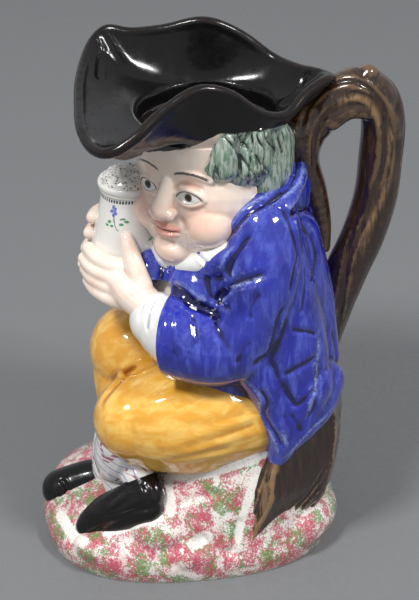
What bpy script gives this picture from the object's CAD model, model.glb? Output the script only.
import math

import bmesh
import bpy
import numpy as np
from mathutils import Matrix, Vector
from mathutils.bvhtree import BVHTree


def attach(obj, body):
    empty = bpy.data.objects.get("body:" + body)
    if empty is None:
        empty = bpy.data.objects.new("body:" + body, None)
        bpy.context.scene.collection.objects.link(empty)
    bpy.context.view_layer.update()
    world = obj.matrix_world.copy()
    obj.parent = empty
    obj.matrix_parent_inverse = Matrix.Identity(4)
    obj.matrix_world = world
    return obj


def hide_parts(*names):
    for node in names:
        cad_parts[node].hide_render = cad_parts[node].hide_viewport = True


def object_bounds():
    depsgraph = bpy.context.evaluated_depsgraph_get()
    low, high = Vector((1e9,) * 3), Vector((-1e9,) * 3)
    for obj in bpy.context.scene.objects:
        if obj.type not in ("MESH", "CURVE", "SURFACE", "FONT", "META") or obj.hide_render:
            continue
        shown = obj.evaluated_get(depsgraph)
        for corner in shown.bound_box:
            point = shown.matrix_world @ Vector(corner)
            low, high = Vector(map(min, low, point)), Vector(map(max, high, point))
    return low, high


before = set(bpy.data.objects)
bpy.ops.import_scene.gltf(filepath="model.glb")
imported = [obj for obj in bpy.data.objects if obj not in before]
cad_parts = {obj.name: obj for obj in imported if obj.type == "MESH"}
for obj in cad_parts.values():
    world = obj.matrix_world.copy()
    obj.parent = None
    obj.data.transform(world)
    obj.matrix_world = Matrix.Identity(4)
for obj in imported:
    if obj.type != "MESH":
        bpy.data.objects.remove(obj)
cadLow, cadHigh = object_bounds()
unit = (cadHigh[2] - cadLow[2]) / 250  # the figure is 250 units high, and its forms are in units

# The figure faces -Y and its left side is +X. Lines of pairs are pixels of the photograph's frame, laid on
# what the camera sees there. Lines of threes are places in units.

shot = {
    "azimuth": 82, "elevation": 30, "distance": 0.95, "focal": 2011.5,  # focal length in pixels
    "width": 419, "height": 600, "target": (0, 0.01126, 0.12182),
}


def makeCamera():
    azimuth, elevation = math.radians(shot["azimuth"]), math.radians(shot["elevation"])
    level = math.cos(elevation)
    away = Vector((math.sin(azimuth) * level, -math.cos(azimuth) * level, math.sin(elevation)))
    data = bpy.data.cameras.new("camera")
    data.sensor_width = 36
    data.lens = shot["focal"] / shot["height"] * data.sensor_width
    made = bpy.data.objects.new("camera", data)
    bpy.context.scene.collection.objects.link(made)
    made.location = Vector(shot["target"]) + away * shot["distance"]
    made.rotation_euler = away.to_track_quat("Z", "Y").to_euler()
    bpy.context.scene.camera = made
    return made


camera = makeCamera()
print("camera set")


def smoothPath(points, perSpan, closed=False):
    # A smooth curve through every point, whatever each point holds beside its place
    given = np.array(points, float)
    count = len(given)
    made = []
    for i in range(count if closed else count - 1):
        if closed:
            a, b, c, d = (given[(i + k) % count] for k in (-1, 0, 1, 2))
        else:
            a, b, c, d = (given[min(max(i + k, 0), count - 1)] for k in (-1, 0, 1, 2))
        for t in np.arange(perSpan) / perSpan:
            made.append(b + 0.5 * t * (c - a + t * (2 * a - 5 * b + 4 * c - d + t * (3 * (b - c) + d - a))))
    if not closed:
        made.append(given[-1])
    return np.array(made)


def meshFrom(bm, name):
    mesh = bpy.data.meshes.new(name)
    bm.to_mesh(mesh)
    bm.free()
    return mesh


def placeObject(name, mesh):
    made = bpy.data.objects.new(name, mesh)
    bpy.context.scene.collection.objects.link(made)
    return made


def settle(piece):
    # Apply the modifiers
    view = bpy.context.evaluated_depsgraph_get()
    mesh = bpy.data.meshes.new_from_object(piece.evaluated_get(view))
    piece.modifiers.clear()
    piece.data = mesh
    return mesh


class Clay:
    # Closed lumps pressed into one body; inset makes each lump that many units thinner

    def __init__(self, inset=0.0):
        self.lumps = bmesh.new()
        self.inset = inset

    def pour(self, lump):
        mesh = meshFrom(lump, "lump")
        self.lumps.from_mesh(mesh)
        bpy.data.meshes.remove(mesh)

    def ball(self, centre, radii, turn=None):
        size = [(radius - self.inset) * unit for radius in radii]
        if min(size) > 0:
            ball = bmesh.new()
            shape = Matrix.LocRotScale(Vector(centre) * unit, turn, size)
            bmesh.ops.create_uvsphere(ball, u_segments=32, v_segments=20, radius=1, matrix=shape)
            self.pour(ball)

    def limb(self, stations, closed=False):
        # Round and tapered, through stations of x, y, z and radius, with round ends
        path = smoothPath(stations, 6, closed)
        curve = bpy.data.curves.new("limb", "CURVE")
        curve.dimensions = "3D"
        curve.bevel_depth = 1
        curve.bevel_resolution = 8
        curve.use_fill_caps = True
        spline = curve.splines.new("POLY")
        spline.points.add(len(path) - 1)
        spline.use_cyclic_u = closed
        for point, (x, y, z, radius) in zip(spline.points, path):
            point.co = (x * unit, y * unit, z * unit, 1)
            point.radius = max(radius - self.inset, 0.1) * unit
        holder = placeObject("limb", curve)
        view = bpy.context.evaluated_depsgraph_get()
        mesh = bpy.data.meshes.new_from_object(holder.evaluated_get(view))
        limb = bmesh.new()
        limb.from_mesh(mesh)
        bmesh.ops.remove_doubles(limb, verts=limb.verts, dist=unit * 1e-3)
        self.pour(limb)
        bpy.data.objects.remove(holder)
        bpy.data.curves.remove(curve)
        bpy.data.meshes.remove(mesh)
        if not closed:
            for x, y, z, radius in (path[0], path[-1]):
                self.ball((x, y, z), (radius, radius, radius))

    def limbs(self, many, sides=(1,)):
        for stations in many:
            for side in sides:
                self.limb([(x * side, y, z, radius) for x, y, z, radius in stations])

    def loft(self, rings):
        # A closed body over rings of equal count, in metres
        self.pour(closedBody(rings))

    def cast(self, name, grain, soften):
        bmesh.ops.recalc_face_normals(self.lumps, faces=self.lumps.faces)
        made = placeObject(name, meshFrom(self.lumps, name))
        skin = made.modifiers.new("skin", "REMESH")
        skin.mode = "VOXEL"
        skin.voxel_size = grain * unit
        smooth = made.modifiers.new("smooth", "SMOOTH")
        smooth.factor = 0.5
        smooth.iterations = soften
        settle(made)
        return made


def bridge(sheet, rings):
    rows = [[sheet.verts.new(point) for point in ring] for ring in rings]
    for low, high in zip(rows, rows[1:]):
        for i in range(len(low)):
            j = (i + 1) % len(low)
            sheet.faces.new((low[i], low[j], high[j], high[i]))
    return rows


def closedBody(rings):
    body = bmesh.new()
    rows = bridge(body, rings)
    body.faces.new(tuple(reversed(rows[0])))
    body.faces.new(tuple(rows[-1]))
    bmesh.ops.recalc_face_normals(body, faces=body.faces)
    return body


def cutAway(piece, cutter):
    cut = piece.modifiers.new("cut", "BOOLEAN")
    cut.operation = "DIFFERENCE"
    cut.solver = "MANIFOLD"
    cut.object = cutter
    settle(piece)


def trim(piece, lump):
    # Cut a closed lump away
    cutter = placeObject("cutter", meshFrom(lump, "cutter"))
    cutAway(piece, cutter)
    bpy.data.objects.remove(cutter)


def coordinates(mesh, what="co"):
    values = np.empty(len(mesh.vertices) * 3)
    mesh.vertices.foreach_get(what, values)
    return values.reshape(-1, 3)


class Skin:
    # The surface of a piece, to find places on

    def __init__(self, piece):
        self.places = coordinates(piece.data)
        self.tree = BVHTree.FromPolygons(self.places.tolist(), [tuple(face.vertices) for face in piece.data.polygons])

    def underPixel(self, x, y):
        turn = camera.rotation_euler.to_matrix()
        ray = turn @ Vector((x - shot["width"] / 2, shot["height"] / 2 - y, -shot["focal"]))
        ray.normalize()
        hit, normal = self.tree.ray_cast(camera.location, ray)[:2]
        if hit is None:  # just off the outline
            away = self.places - np.array(camera.location)
            along = away @ np.array(ray)
            index = int(np.argmin(np.linalg.norm(away - along[:, None] * np.array(ray), axis=1)))
            hit, normal = self.tree.find_nearest(Vector(self.places[index]))[:2]
        return hit, normal

    def trace(self, points):
        # Places and normals on the skin along a line
        found = []
        for point in smoothPath(points, 4):
            if len(point) == 2:
                found.append(self.underPixel(*point))
            else:
                found.append(self.tree.find_nearest(Vector(point) * unit)[:2])
        return found


def closeness(places, normals, line, reach):
    # For each vertex: its distance to a line on the skin, and how far along the line it is, 0 to 1
    near = np.full(len(places), np.inf)
    share = np.zeros(len(places))
    spans = [(np.array(a), np.array(b), np.array(turn)) for (a, turn), (b, _) in zip(line, line[1:])]
    lengths = [np.linalg.norm(b - a) for a, b, _ in spans]
    total = max(sum(lengths), 1e-9)
    gone = 0.0
    for (a, b, turn), length in zip(spans, lengths):
        low, high = np.minimum(a, b) - reach, np.maximum(a, b) + reach
        index = np.nonzero(np.all((places > low) & (places < high), axis=1))[0]
        if length > 0 and len(index):
            index = index[normals[index] @ turn > -0.1]
            along = np.clip((places[index] - a) @ (b - a) / length ** 2, 0, 1)
            distance = np.linalg.norm(places[index] - a - along[:, None] * (b - a), axis=1)
            closer = distance < near[index]
            near[index[closer]] = distance[closer]
            share[index[closer]] = (gone + along[closer] * length) / total
        gone += length
    return near, share


def carve(piece, folds):
    # Each fold is a line, its half width, its depth (less than 0 is a ridge) and how much its sides swell
    skin = Skin(piece)
    places, normals = skin.places.copy(), coordinates(piece.data, "normal")
    push = np.zeros(len(places))
    for points, halfWidth, depth, swell in folds:
        width = halfWidth * unit
        near, share = closeness(skin.places, normals, skin.trace(points), width * 4)
        taper = np.clip(share / 0.16, 0, 1) * np.clip((1 - share) / 0.16, 0, 1)
        taper = taper * taper * (3 - 2 * taper)
        ratio = np.minimum(near / width, 9)
        push += depth * unit * taper * (np.exp(-ratio ** 2) - swell * np.exp(-(ratio - 2) ** 2 * 1.4))
    places -= normals * push[:, None]
    piece.data.vertices.foreach_set("co", places.ravel())
    piece.data.update()


def keep(piece, name, values):
    # Keep a number or a place for each vertex, for the finish to read
    values = np.asarray(values, np.float32)
    kind, field = ("FLOAT", "value") if values.ndim == 1 else ("FLOAT_VECTOR", "vector")
    made = piece.data.attributes.new(name, kind, "POINT")
    made.data.foreach_set(field, values.ravel())


def markRelief(piece, rounds=10):
    # How deep each vertex lies in a groove, in units, against that many rounds of smoothing
    mesh = piece.data
    count = len(mesh.vertices)
    ends = np.empty(len(mesh.edges) * 2, np.int32)
    mesh.edges.foreach_get("vertices", ends)
    a, b = ends[0::2], ends[1::2]
    ways = np.maximum(np.bincount(a, minlength=count) + np.bincount(b, minlength=count), 1)
    places, normals = coordinates(mesh), coordinates(mesh, "normal")
    smooth = places.copy()
    for _ in range(rounds):
        smooth = np.stack([
            (np.bincount(a, smooth[b, k], count) + np.bincount(b, smooth[a, k], count)) / ways for k in range(3)
        ], axis=1)
    keep(piece, "grooves", ((smooth - places) * normals).sum(axis=1) / unit)


def brushed(piece, name, lines, halfWidth):
    # Painted strokes: 1 on each line, 0 beside it
    skin = Skin(piece)
    normals = coordinates(piece.data, "normal")
    paint = np.zeros(len(skin.places))
    for points in lines:
        near, share = closeness(skin.places, normals, skin.trace(points), halfWidth * unit * 3)
        taper = np.clip(share / 0.12, 0.3, 1) * np.clip((1 - share) / 0.12, 0.3, 1)
        paint = np.maximum(paint, taper * np.exp(-(near / (halfWidth * unit)) ** 2))
    keep(piece, name, paint)


class Finish:
    # A glaze: short ways to make and join the nodes of its material

    def __init__(self, name, gloss=0.1, coat=0.6):
        self.material = bpy.data.materials.new(name)
        self.material.use_nodes = True
        self.tree = self.material.node_tree
        self.shader = self.tree.nodes["Principled BSDF"]
        self.shader.inputs["Coat Weight"].default_value = coat
        self.shader.inputs["Coat Roughness"].default_value = 0.03
        self.shader.inputs["IOR"].default_value = 1.5
        self.gloss = gloss
        self.place = self.node("TexCoord", "Object")

    def node(self, kind, out=0, inputs=(), **settings):
        made = self.tree.nodes.new("ShaderNode" + kind)
        for key, value in settings.items():
            setattr(made, key, value)
        for key, value in dict(inputs).items():
            self.feed(made.inputs[key], value)
        return made.outputs[out]

    def feed(self, socket, value):
        if isinstance(value, bpy.types.NodeSocket):
            self.tree.links.new(value, socket)
        elif isinstance(value, tuple) and len(value) == 3 and socket.type == "RGBA":
            socket.default_value = (*value, 1)
        else:
            socket.default_value = value

    def read(self, name, out="Fac"):
        return self.node("Attribute", out, attribute_name=name)

    def sum(self, kind, a, b=0.0, c=0.0):
        return self.node("Math", inputs={0: a, 1: b, 2: c}, operation=kind)

    def apart(self, a, b):
        return self.sum("ABSOLUTE", self.sum("SUBTRACT", a, b))

    def vector(self, kind, a, b=(0, 0, 0)):
        return self.node("VectorMath", "Value" if kind == "LENGTH" else 0, {0: a, 1: b}, operation=kind)

    def split(self, place):
        made = self.tree.nodes.new("ShaderNodeSeparateXYZ")
        self.feed(made.inputs[0], place)
        return list(made.outputs)

    def noise(self, size, detail=3, rough=0.55, place=None, warp=0.0):
        # Soft cloud of a feature size in units
        return self.node("TexNoise", "Fac", {"Vector": place or self.place, "Scale": 1 / (size * unit),
                                             "Detail": detail, "Roughness": rough, "Distortion": warp})

    def cells(self, size):
        return self.node("TexVoronoi", "Distance", {"Vector": self.place, "Scale": 1 / (size * unit)})

    def stretched(self, factors, turn=(0, 0, 0)):
        return self.node("Mapping", 0, {"Vector": self.place, "Scale": factors, "Rotation": turn})

    def span(self, value, low, high, start=0.0, end=1.0):
        return self.node("MapRange", 0, {"Value": value, "From Min": low, "From Max": high, "To Min": start,
                                         "To Max": end}, interpolation_type="SMOOTHSTEP")

    def mix(self, share, a, b):
        return self.node("Mix", 2, {0: share, 6: a, 7: b}, data_type="RGBA")

    def spot(self, place, centre, radii, edge=0.15):
        # 1 inside an ellipse or ball round a place, in the place's own measure
        moved = self.vector("SUBTRACT", place, centre)
        sized = self.vector("DIVIDE", moved, radii)
        return self.span(self.vector("LENGTH", sized), 1 + edge, 1 - edge)

    def finish(self, colour, height=None, ripple=0.4):
        # Glaze lies in faint waves, and its gloss varies a little
        waves = self.noise(7, 2, 0.4)
        fine = self.noise(1.6, 2, 0.5)
        tall = self.sum("MULTIPLY_ADD", fine, 0.12, waves)
        if height is not None:
            tall = self.sum("ADD", tall, height)
        bump = self.node("Bump", 0, {"Strength": ripple, "Distance": 0.35 * unit, "Height": tall})
        uneven = self.noise(4, 3, 0.6)
        self.feed(self.shader.inputs["Base Color"], colour)
        self.feed(self.shader.inputs["Roughness"], self.span(uneven, 0.3, 0.75, self.gloss, self.gloss * 1.9))
        self.feed(self.shader.inputs["Normal"], bump)
        return self.material


def dress(piece, material):
    # Nothing stands out of the CAD model's box
    slack = 0.05 * unit
    low, high = np.array(cadLow) + (slack, slack, 0), np.array(cadHigh) - slack
    piece.data.vertices.foreach_set("co", np.clip(coordinates(piece.data), low, high).ravel())
    piece.data.materials.clear()
    piece.data.materials.append(material)
    piece.data.shade_smooth()
    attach(piece, "root")
    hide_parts("toby_jug")
    print(piece.name, "made,", len(piece.data.polygons), "faces")


head = {
    "turn": 45, "tip": 8,  # degrees to the figure's left, and back
    "centre": (2, 9, 184),
    "grain": 0.62, "soften": 3,
    "balls": (((0, 0, 4), (31, 30, 34)), ((0, 2, 18), (31, 31, 26)), ((0, -5, -12), (27, 23, 21)),
              ((0, -19, -25), (10.5, 9.5, 8))),
    "neck": ((2, 14, 168, 23), (1, 20, 150, 24)),
    "forehead": ((184, 0.88), (190, 0.96), (196, 1.0), (206, 1.04), (216, 1.08)),  # height, size against the mouth
    "cheek": ((13.2, -14.6, -10.5), (13.4, 12.6, 12.4)),
    "eye": ((11.4, -23.6, 4), (5.9, 4.9, 4.6)),
    "nostril": ((4.3, -31.2, -5.6), (2.9, 3.5, 2.7)),
    "nose": ((0, -26.8, 11, 3.8), (0, -29.4, 4, 3.9), (0, -32.2, -3, 4.4), (0, -32.8, -4.6, 4.6)),
    "pairs": (
        ((3.5, -28.2, 13, 1.8), (11, -27.4, 15, 2), (19, -22.6, 12.5, 1.6)),  # brow
        ((5.2, -27.9, 3.2, 0.7), (8.2, -29, 6.8, 1.1), (12.2, -28.6, 7.6, 1.2), (16.4, -26, 5.6, 1.1),
         (18, -24.4, 3, 0.8)),
        ((5.4, -27.7, 2.8, 0.7), (8.6, -28.6, 0.7, 0.9), (13, -27.6, 0.2, 0.9), (17.6, -24.6, 2.4, 0.7)),
    ),
    "lips": (
        ((-8.8, -24.6, -13.8, 0.9), (-4.4, -27.9, -13.2, 1.4), (-1.3, -28.9, -12.9, 1.6), (0, -28.9, -13.3, 1.5),
         (1.3, -28.9, -12.9, 1.6), (4.4, -27.9, -13.2, 1.4), (8.8, -24.6, -13.8, 0.9)),
        ((-7.8, -24.9, -14.8, 1), (-3, -27.9, -16.2, 1.8), (3, -27.9, -16.2, 1.8), (7.8, -24.9, -14.8, 1)),
    ),
    # Line in the head's own axes, half width, depth, swell; both sides
    "creases": (
        (((4.6, -28, 4), (5.6, -28, 8.6), (11, -28, 10.4), (17.6, -24, 8.2)), 1.3, 1.0, 0),
        (((5, -28, 0.5), (9, -28, -2), (15, -26, -1.6), (18.5, -23, 0.6)), 1.4, 0.6, 0),
        (((6.4, -31, -3), (8.6, -29, -8.4), (11.4, -26, -14)), 1.4, 0.8, 0),
        (((2.6, -31, -8.2), (4.2, -31, -8.6), (5.8, -30, -7.6)), 0.8, 0.7, 0),
        (((6.6, -33, -7), (7.8, -31, -4.6), (6.8, -30, -2)), 0.8, 0.6, 0),
    ),
    "middle": (
        (((-8.4, -27, -14.1), (-4, -29, -14.4), (0, -30, -14.6), (4, -29, -14.4), (8.4, -27, -14.1)), 0.7, 0.9, 0),
        (((-5, -28, -20), (0, -29, -20.6), (5, -28, -20)), 1.7, 0.9, 0),
        (((0, -31, -8.6), (0, -30, -12)), 1.0, 0.5, 0.3),
    ),
    "blush": (0.86, 0.40, 0.27), "flesh": (0.91, 0.73, 0.60), "lipColour": (0.72, 0.24, 0.19),
    "hairLine": (0.02, 0.013, 0.01), "iris": (0.09, 0.055, 0.03),
    "cream": (0.93, 0.80, 0.70), "warm": (0.62, 0.26, 0.16), "seam": (0.2, 0.02, 0.02),
    "eyeWhite": (0.86, 0.85, 0.80), "pupil": (0.004, 0.004, 0.004),
}
headTurn = Matrix.Rotation(math.radians(head["turn"]), 3, "Z") @ Matrix.Rotation(-math.radians(head["tip"]), 3, "X")


def inHead(x, y, z, *more):
    # From the head's own axes to the figure's, in units; anything after x, y, z is carried along
    return (*(headTurn @ Vector((x, y, z)) + Vector(head["centre"])), *more)


hollowForms = {
    "wall": 5.0, "floor": 7.0,
    "lining": 1.6,  # glaze and clay that the inside piece is made of
    "hatClearance": 0.4, "clearance": 1.1,  # how far the hat, and the other pieces, stand back from the inside
    "mouthWidth": 58, "mouthLength": 64, "mouthMiddle": 10, "mouthLevel": 219,
    # Height and share of the mouth's size
    "throat": ((150, 0.72), (172, 0.78), (184, 0.84), (196, 0.9), (206, 0.92), (218, 0.96), (228, 1)),
    "deep": (0.012, 0.009, 0.008), "glaze": (0.80, 0.77, 0.70),
}
core = {
    # Height, half width, front, back
    "sections": ((-3, 55.5, -68.5, 68.5), (3, 57.5, -71, 71), (9, 58, -71.5, 71.5), (15, 56, -68, 69),
                 (21, 54, -57, 67), (29, 52, -40, 65), (40, 50, -24, 62), (52, 47, -14, 60), (66, 45, -14, 62),
                 (84, 45, -16, 66), (101, 44, -16, 69), (122, 43, -15, 69), (140, 42, -14, 67), (154, 39, -11, 63), (166, 34, -6, 58),
                 (178, 28, -6, 50)),
    "squareness": 2.5,
}
coat = {
    "grain": 0.95, "soften": 2,
    "coreFrom": 72, "coreTo": 176,
    "pairs": (
        ((33, 42, 86, 20), (30, 42, 108, 21), (28, 38, 134, 20), (26, 34, 158, 19), (22, 34, 176, 15)),
        ((46, 37.5, 62, 5.5), (46, 39.5, 74, 8), (43.5, 34, 96, 10), (40, 22, 116, 12)),
        ((40, 46, 78, 12), (38, 50, 96, 14)),
        ((46, 38, 66, 6), (43, 45, 74, 8.5), (38, 54, 84, 11), (30, 60, 92, 11)),
        ((16, 54, 98, 17), (15, 52, 128, 16), (13, 46, 160, 15)),
        ((24, 1, 149, 3.5), (33, 9, 158, 5), (38, 22, 170, 5), (33, 37, 182, 5), (17, 48, 190, 5), (0, 51, 192, 5)),
        ((28, 32, 172, 17), (34, 30, 158, 18), (38, 27, 142, 17), (39, 22, 129, 16.5), (38, 16, 120, 16.5)),
    ),
    "hollowPairs": (0, 4),  # the pairs that the inside follows
    "back": ((0, 54, 102, 17), (0, 53, 128, 16), (0, 46, 164, 14)),
    "hem": (35, 57, 0.80),  # lowest at this depth and height, and its rise to the back
    "chest": (((0, 6, 130), (34, 24, 34)), ((14, 4, 144), (24, 17, 16)), ((-2, 49, 179), (17, 10, 18)),
              ((6, -18, 138), (13, 10, 16))),
    "foreArm": ((38, 18, 119, 17), (38, 7, 119, 18), (35, -2, 121, 19), (32, -9, 123, 19.4)),
    "foreArmFar": ((-38, 18, 119, 17), (-38, 7, 117, 18), (-35, -2, 114, 18), (-31, -9, 116, 16.5)),
    "foldWidth": 1.15, "foldDepth": 0.9, "swell": 0.12,
    "folds": (
        # Collar's fall, armhole and the puffed bend of the elbow
        (((296, 150), (296, 170), (288, 186), (269, 201), (245, 215), (233, 230), (215, 247)), 1.5, 1.7),
        (((252, 233), (239, 248), (231, 261), (228, 272), (231, 283)), 1.5, 1.7),
        (((269, 273), (251, 279), (231, 285), (220, 295), (215, 306)), 1.7, 2.0),
        (((217, 296), (223, 306), (231, 308)), 1.2, 1.0),
        (((154, 275), (167, 284), (182, 293), (196, 305), (209, 311), (217, 316), (232, 329)), 1.9, 2.4),
        (((207, 275), (208, 286), (213, 302)), 1.3, 1.0),
        (((228, 290), (218, 298), (217, 308)), 1.2, 1.0),
        # Forearm
        (((178, 298), (172, 316), (172, 340), (178, 364)), 1.1, 0.6),
        (((193, 313), (196, 330), (197, 348)), 1.2, 0.6),
        # Back of the sleeve
        (((288, 300), (281, 318), (276, 336), (271, 350), (260, 361), (248, 370)), 1.7, 2.2),
        (((293, 300), (288, 313), (284, 327), (277, 347), (269, 361)), 1.2, 0.8),
        (((262, 292), (252, 306), (250, 322)), 1.5, 0.9),
        (((252, 340), (243, 352), (236, 366)), 1.4, 0.8),
        # Shoulder and back
        (((276, 203), (289, 219), (295, 237), (299, 255), (295, 273), (289, 299)), 1.5, 1.5),
        (((301, 225), (312, 238), (317, 256), (314, 273), (309, 289)), 1.4, 1.2),
        (((309, 193), (322, 213), (325, 233), (322, 249)), 1.4, 1.0),
        (((304, 262), (306, 280), (304, 300), (300, 318)), 1.4, 0.9),
        # Skirt: front edge, pocket flap, pleats
        (((256, 385), (264, 395), (267, 404), (264, 414), (269, 425), (277, 437), (284, 452)), 1.2, 1.3),
        (((319, 354), (310, 361), (299, 367), (288, 373), (281, 375)), 1.3, 1.3),
        (((281, 380), (287, 390), (293, 400), (297, 405), (304, 400), (312, 393), (319, 387)), 1.2, 1.2),
        (((289, 329), (301, 331), (310, 332), (318, 335)), 1.2, 1.0),
        (((322, 326), (320, 341), (319, 361), (317, 382), (316, 398), (314, 409), (308, 418), (304, 428)), 1.3, 1.1),
        (((330, 327), (335, 343), (337, 360), (335, 384)), 1.2, 0.9),
        (((290, 412), (298, 424), (303, 434)), 1.2, 0.7),
        (((282, 412), (290, 430), (292, 446)), 1.2, 0.7),
    ),
    "hiddenFolds": (
        (((-26, -3, 146), (-36, 6, 154), (-42, 18, 165), (-40, 34, 177), (-24, 50, 186), (-8, 56, 190)), 1.5, 1.7),
        (((8, 56, 190), (24, 50, 186), (36, 40, 180)), 1.5, 1.7),
        (((-38, 8, 164), (-44, 6, 152), (-46, 4, 140), (-44, 6, 133)), 1.5, 1.7),
        (((-34, -4, 139), (-42, 4, 134), (-52, 14, 134), (-53, 24, 140)), 1.7, 2.0),
        (((-38, 2, 142), (-44, 10, 136), (-50, 18, 132)), 1.4, 1.2),
        (((-36, -16, 130), (-42, -16, 118), (-38, -16, 106)), 1.3, 0.9),
        (((-42, -8, 130), (-50, -8, 118), (-44, -8, 104)), 1.3, 0.9),
        (((-50, 44, 150), (-52, 40, 134), (-54, 34, 122), (-50, 26, 106)), 1.6, 1.9),
        (((-40, 44, 182), (-46, 48, 168), (-47, 52, 150), (-46, 54, 128)), 1.4, 1.2),
        (((-50, 14, 112), (-50, 21, 103), (-52, 27, 89), (-52, 29, 75), (-50, 35, 57)), 1.3, 1.3),
        (((-52, 40, 100), (-50, 52, 98), (-44, 60, 98)), 1.3, 1.2),
        (((-52, 42, 92), (-50, 48, 82), (-46, 56, 92)), 1.2, 1.1),
        (((-34, 62, 122), (-36, 62, 100), (-38, 60, 82), (-38, 58, 62)), 1.4, 1.3),
        (((0, 62, 186), (0, 68, 160), (0, 70, 140), (0, 71, 120), (0, 71, 90), (0, 68, 56)), 1.0, 0.7),
        (((20, 62, 150), (19, 68, 124), (16, 70, 96), (14, 70, 60)), 1.4, 0.9),
        (((-20, 62, 150), (-19, 68, 124), (-16, 70, 96), (-14, 70, 60)), 1.4, 0.9),
    ),
    # Edges where the glaze has run thin: front, hem, collar and pleat
    "edges": (
        ((246, 381), (256, 391), (260, 399), (259, 407), (260, 415), (264, 425), (270, 433), (275, 444), (279, 458)),
        ((281, 459), (289, 454), (310, 431), (325, 417), (333, 407)),
        ((292, 152), (290, 166), (282, 182), (264, 196), (246, 206), (232, 220)),
        ((319, 330), (318, 350), (316, 372), (314, 396), (306, 418)),
        ((268, 276), (250, 282), (230, 288)),
        ((-50, 24, 100), (-52, 30, 76), (-50, 36, 60)),
        ((-46, 44, 66), (-30, 58, 78), (0, 68, 84), (30, 58, 78)),
    ),
    "deep": (0.005, 0.005, 0.06), "cobalt": (0.016, 0.022, 0.33), "light": (0.06, 0.085, 0.46),
    "thin": (0.36, 0.44, 0.78),
    # Where the sleeve ends: its middle, the way out of it, and how wide to cut
    "sleeveEnd": ((32, -11, 124), (-0.479, -0.872, -0.088), 24),
    "dark": (0.010, 0.012, 0.17),
}
breeches = {
    "grain": 1.05, "soften": 3,
    "thighs": (
        ((22, 30, 78, 26), (26, 8, 77, 27), (27, -14, 76, 25), (25, -27, 75, 20.5)),
        ((24, 22, 71, 22), (27, 0, 69, 23), (27, -15, 69, 20.5)),
        ((-22, 30, 82, 27), (-24, 8, 85, 27), (-22, -10, 86, 25), (-20, -22, 86, 23)),
    ),
    "shins": (
        ((25, -28, 75, 18), (24, -27, 66, 16)),
        ((-20, -25, 82, 19.2), (-15, -27.5, 68, 16.5), (-10, -30, 58, 12.6)),
    ),
    "folds": (
        (((98, 409), (105, 398), (113, 388), (124, 377), (134, 369), (142, 362)), 1.8, 1.6, 0.3),
        (((112, 382), (116, 375), (122, 369)), 1.5, 0.8, 0.4),
        (((176, 448), (200, 444), (222, 436), (244, 428), (262, 420)), 1.9, 0.5, 0.3),
        (((160, 460), (186, 458), (210, 452), (236, 446)), 1.8, 0.4, 0.3),
        (((180, 430), (204, 426), (230, 418), (252, 410)), 2.0, 0.4, 0.3),
        (((150, 395), (170, 388), (196, 386)), 2.4, 0.4, 0.3),
        (((-52, -6, 86), (-48, -20, 80), (-40, -34, 76)), 2.2, 1.2, 0.4),
        (((-46, 4, 70), (-42, -12, 66), (-32, -26, 60)), 2.0, 1.0, 0.4),
        (((-44, -12, 96), (-38, -26, 94), (-26, -38, 92)), 2.0, 0.8, 0.4),
    ),
    "ochre": (0.76, 0.36, 0.035), "pale": (0.90, 0.56, 0.13), "dark": (0.42, 0.15, 0.014),
}


def oval(z, halfWidth, front, back, squareness, count=72):
    # A level ring between an ellipse and a rectangle, in metres
    ring = []
    for angle in np.arange(count) * 2 * math.pi / count:
        across = math.copysign(abs(math.cos(angle)) ** (2 / squareness), math.cos(angle))
        along = math.copysign(abs(math.sin(angle)) ** (2 / squareness), math.sin(angle))
        x, y = halfWidth * across, (front + back) / 2 + (back - front) / 2 * along
        ring.append((x * unit, y * unit, z * unit))
    return ring


def coreSize(z):
    table = np.array(core["sections"], float)
    return [float(np.interp(z, table[:, 0], table[:, k])) for k in (1, 2, 3)]


def coreLoft(clay, low, high, rows=48):
    clay.loft([oval(z, *coreSize(z), core["squareness"]) for z in np.linspace(low, high, rows)])


def headForms(clay):
    turn = headTurn.to_quaternion()
    for centre, radii in head["balls"]:
        clay.ball(inHead(*centre), radii, turn)
    clay.limb(head["neck"])


def hatRing(share, lift=0.0, scale=1.0):
    # One ring of the hat: share 0 is the mouth's edge, share 1 is the rim
    h = hollowForms
    half = np.array((h["mouthWidth"], h["mouthLength"])) / 2
    ring = []
    for x, y, z in smoothPath(hat["rim"], 8, closed=True):
        angle = math.atan2(y - h["mouthMiddle"], x)
        inner = half * (math.cos(angle), math.sin(angle)) * scale
        flat = inner + (np.array((x, y - h["mouthMiddle"])) - inner) * share ** 0.85
        rise = h["mouthLevel"] + (z - h["mouthLevel"]) * (0.25 * share + 0.75 * share ** 2)
        ring.append((flat[0] * unit, (flat[1] + h["mouthMiddle"]) * unit, (rise + lift) * unit))
    return ring


def hollowBody(inset, grain=2.2):
    # The inside of the jug, its lumps that much thinner than the outside's
    h = hollowForms
    clay = Clay(inset)
    top = core["sections"][-1][0]
    rings = []
    for z in np.linspace(h["floor"] - h["wall"] + inset, top, 24):
        here, above = coreSize(z), coreSize(z + 1.4 * h["wall"])
        rings.append(oval(z, min(here[0], above[0]) - inset, max(here[1], above[1]) + inset,
                          min(here[2], above[2]) - inset, core["squareness"]))
    clay.loft(rings)
    clay.limbs([coat["pairs"][k] for k in coat["hollowPairs"]], (1, -1))
    clay.limb(coat["back"])
    for centre, radii in coat["chest"][:2]:
        clay.ball(centre, radii)
    clay.limbs(breeches["thighs"])
    headForms(clay)
    rings = []
    for z, share in h["throat"]:
        less = (1 - share) * h["mouthWidth"] / 2 - (h["wall"] - inset)
        rings.append(oval(z, h["mouthWidth"] / 2 - less, h["mouthMiddle"] - h["mouthLength"] / 2 + less,
                          h["mouthMiddle"] + h["mouthLength"] / 2 - less, 2))
    clay.loft(rings)
    return clay.cast("hollow", grain, 6)


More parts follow.
